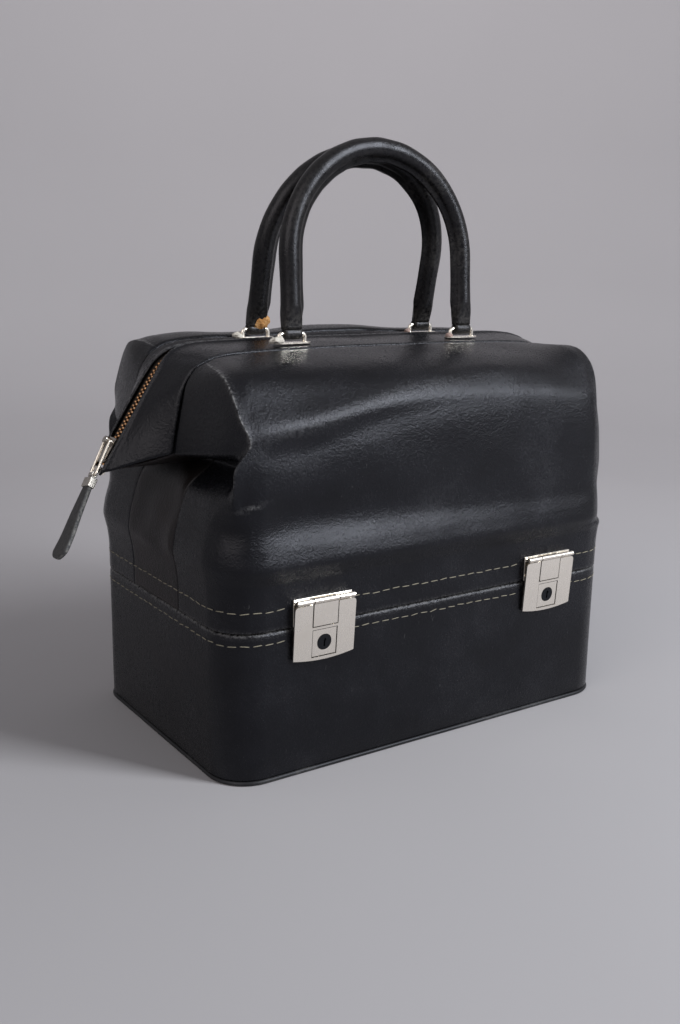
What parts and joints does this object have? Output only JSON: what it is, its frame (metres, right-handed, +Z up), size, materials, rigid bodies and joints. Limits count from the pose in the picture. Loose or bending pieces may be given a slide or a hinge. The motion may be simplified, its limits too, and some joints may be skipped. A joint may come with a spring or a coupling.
{
  "type": "leather train case",
  "caption": "Two-tier leather train case: hard lower compartment with key latches, hinged to a soft zip-top bag with folded ends and rolled carrying handles.",
  "frame": {"origin": "middle of the bottom face, on the surface that the case stands on", "axes": "+X along the width, towards the end without the zip slider; -Y is the side with the latches; +Z up"},
  "size_m": [0.4873, 0.2377, 0.4446],
  "materials": {
    "black_leather": "smooth, satin, worn",
    "brown_black_leather": "smooth, satin, worn",
    "nickel": "worn nickel plate",
    "brass_teeth": "aged",
    "tape": "woven",
    "lining": "matt cloth",
    "board": "fibreboard",
    "key_black": "dark",
    "tan_core": "raw"
  },
  "bodies": {
    "lower_case": {"lower_carcass": "board", "lower_leather_wrap": "black_leather", "base_panel": "black_leather", "base_welt": "black_leather", "lower_lining": "lining", "left_lock_base": "nickel", "right_lock_base": "nickel", "left_lock_face": "nickel", "right_lock_face": "nickel", "left_hinge_lower_leaf": "nickel", "right_hinge_lower_leaf": "nickel", "left_hinge_pin": "nickel", "right_hinge_pin": "nickel", "lock_rivets": "nickel", "lower_hinge_rivets": "nickel"},
    "front_handle": {"front_handle_cover": "black_leather", "front_handle_core": "tan_core"},
    "back_handle": {"back_handle_cover": "black_leather", "back_handle_core": "tan_core"},
    "zip_runner": {"zip_slider": "nickel"},
    "zip_link": {"zip_pull_link": "nickel"},
    "zip_tab": {"zip_pull_clip": "nickel", "zip_pull_tab": "black_leather"},
    "left_hasp": {"left_hasp": "nickel"},
    "right_hasp": {"right_hasp": "nickel"},
    "left_button": {"left_lock_button": "nickel"},
    "right_button": {"right_lock_button": "nickel"},
    "left_key": {"left_key_plug": "key_black"},
    "right_key": {"right_key_plug": "key_black"},
    "upper_bag": {"rim_frame": "board", "divider_board": "board", "divider_lining": "lining", "front_panel": "black_leather", "back_panel": "black_leather", "left_gusset": "brown_black_leather", "right_gusset": "brown_black_leather", "front_zip_facing": "black_leather", "back_zip_facing": "black_leather", "front_zip_tape": "tape", "back_zip_tape": "tape", "front_zip_teeth": "brass_teeth", "back_zip_teeth": "brass_teeth", "left_zip_stop": "nickel", "right_zip_stop": "nickel", "front_top_stiffener": "board", "back_top_stiffener": "board", "front_left_handle_loop": "nickel", "front_right_handle_loop": "nickel", "back_left_handle_loop": "nickel", "back_right_handle_loop": "nickel", "left_keeper": "nickel", "right_keeper": "nickel", "left_hasp_pin": "nickel", "right_hasp_pin": "nickel", "left_hinge_upper_leaf": "nickel", "right_hinge_upper_leaf": "nickel", "keeper_rivets": "nickel", "upper_hinge_rivets": "nickel"}
  },
  "joints": [
    {"name": "lid_hinge", "type": "hinge", "parent": "lower_case", "child": "upper_bag", "pos_m": [0, 0.1153, 0.1105], "axis": [-1, 0, 0], "range_deg": [0, 100]},
    {"name": "front_handle_swing", "type": "hinge", "parent": "upper_bag", "child": "front_handle", "pos_m": [0, -0.027, 0.30231], "axis": [1, 0, 0], "range_deg": [0, 84]},
    {"name": "back_handle_swing", "type": "hinge", "parent": "upper_bag", "child": "back_handle", "pos_m": [0, 0.027, 0.30231], "axis": [-1, 0, 0], "range_deg": [0, 84]},
    {"name": "zip_slide", "type": "slide", "parent": "upper_bag", "child": "zip_runner", "axis": [0.5446, 0, 0.8387], "range_m": [0, 0.038]},
    {"name": "link_swing", "type": "hinge", "parent": "zip_runner", "child": "zip_link", "pos_m": [-0.21373, 0, 0.23006], "axis": [-0.141, 0.9659, -0.2171], "range_deg": [0, 110]},
    {"name": "tab_swing", "type": "hinge", "parent": "zip_link", "child": "zip_tab", "pos_m": [-0.22793, -0.00699, 0.20819], "axis": [-0.141, 0.9659, -0.2171], "range_deg": [0, 90]},
    {"name": "left_hasp_swing", "type": "hinge", "parent": "upper_bag", "child": "left_hasp", "pos_m": [-0.106, -0.11754, 0.12873], "axis": [-1, 0, 0], "range_deg": [0, 105]},
    {"name": "left_button_press", "type": "slide", "parent": "lower_case", "child": "left_button", "axis": [0, 0.9976, 0.0698], "range_m": [0, 0.001], "stiffness_N_per_m": 300},
    {"name": "left_key_turn", "type": "hinge", "parent": "left_button", "child": "left_key", "pos_m": [-0.106, -0.11449, 0.09727], "axis": [0, -0.9976, -0.0698], "range_deg": [0, 90]},
    {"name": "right_hasp_swing", "type": "hinge", "parent": "upper_bag", "child": "right_hasp", "pos_m": [0.106, -0.11754, 0.12873], "axis": [-1, 0, 0], "range_deg": [0, 105]},
    {"name": "right_button_press", "type": "slide", "parent": "lower_case", "child": "right_button", "axis": [0, 0.9976, 0.0698], "range_m": [0, 0.001], "stiffness_N_per_m": 300},
    {"name": "right_key_turn", "type": "hinge", "parent": "right_button", "child": "right_key", "pos_m": [0.106, -0.11449, 0.09727], "axis": [0, -0.9976, -0.0698], "range_deg": [0, 90]}
  ]
}
